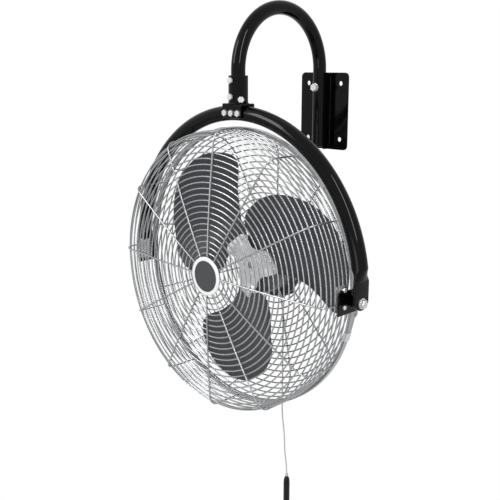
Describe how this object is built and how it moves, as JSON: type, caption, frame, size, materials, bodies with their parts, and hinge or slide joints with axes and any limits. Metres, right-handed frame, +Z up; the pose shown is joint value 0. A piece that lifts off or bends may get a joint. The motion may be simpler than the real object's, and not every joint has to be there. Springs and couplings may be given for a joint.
{
  "type": "wall mounted fan",
  "caption": "Wall mounted fan with a caged head in a half-ring yoke, hung from a bent tube arm on a wall plate, with a pull cord",
  "frame": {"origin": "centre of the back face of the wall plate, on the wall", "axes": "+Z up; the wall is the plane Y=0 and the fan stands out from it towards -Y; +X to the right of a viewer who faces the wall; at rest the fan blows straight out, neither swung nor tilted"},
  "size_m": [0.5738, 0.324, 1.0178],
  "materials": {
    "black_paint": "gloss",
    "dark_paint": "satin",
    "zinc": "satin",
    "guard_wire": "bright",
    "blade_metal": "satin",
    "spider_steel": "satin",
    "steel": "satin",
    "copper": "satin",
    "badge_face": "satin",
    "badge_trim": "satin",
    "black_plastic": "gloss",
    "cord_fibre": "matte",
    "bead_plastic": "matte"
  },
  "bodies": {
    "arm": {"wall_plate": "black_paint", "arm_channel": "black_paint", "arm_tube": "black_paint", "arm_foot_plug": "black_plastic", "arm_end_plug": "black_plastic", "arm_bolt_washer": "zinc", "arm_bolt": "zinc"},
    "yoke": {"yoke_tube": "black_paint", "yoke_saddle": "black_paint", "swivel_sleeve": "black_paint", "clamp_screws": "zinc", "thrust_washer": "zinc", "saddle_bolts": "zinc", "saddle_nuts": "zinc"},
    "head": {"front_guard_rings": "guard_wire", "guard_side_rings": "guard_wire", "front_guard_ribs": "guard_wire", "front_rim": "guard_wire", "rear_rim": "guard_wire", "rim_channel": "guard_wire", "guard_clips": "zinc", "rear_guard_rings": "guard_wire", "rear_guard_ribs": "guard_wire", "badge_plate": "badge_face", "badge_ring": "badge_trim", "badge_backing": "dark_paint", "side_brackets": "black_paint", "clamp_plates": "zinc", "bracket_screws": "zinc", "bracket_nuts": "zinc", "pivot_spacers": "zinc", "pivot_washers": "zinc", "pivot_bolts": "zinc", "motor_front_bell": "dark_paint", "motor_rear_bell": "dark_paint", "motor_band": "dark_paint", "stator_core": "steel", "windings": "copper", "front_bearing": "steel", "rear_bearing": "steel", "motor_plate": "dark_paint", "motor_flange": "dark_paint", "motor_screws": "zinc", "motor_nuts": "zinc", "switch_box": "black_plastic", "switch_nipple": "zinc"},
    "rotor": {"motor_shaft": "steel", "rotor_core": "steel", "hub": "steel", "hub_spider": "spider_steel", "hub_rivets": "zinc", "blade_1": "blade_metal", "blade_2": "blade_metal", "blade_3": "blade_metal", "blade_rivets": "zinc", "hub_set_screw": "zinc"},
    "pull": {"pull_plunger": "steel", "pull_cord": "cord_fibre", "cord_bead": "bead_plastic", "cord_knob": "black_plastic"}
  },
  "joints": [
    {"name": "yoke_swivel", "type": "hinge", "parent": "arm", "child": "yoke", "pos_m": [0, -0.24, 0.045], "axis": [0, 0, 1], "range_deg": [-50, 50]},
    {"name": "head_tilt", "type": "hinge", "parent": "yoke", "child": "head", "pos_m": [0, -0.24, -0.284], "axis": [1, 0, 0], "range_deg": [-20, 45]},
    {"name": "rotor_spin", "type": "hinge", "parent": "head", "child": "rotor", "pos_m": [0, -0.14, -0.276], "axis": [0, -1, 0], "continuous": true},
    {"name": "cord_pull", "type": "slide", "parent": "head", "child": "pull", "axis": [0, 0, -1], "range_m": [0, 0.006], "stiffness_N_per_m": 400}
  ]
}
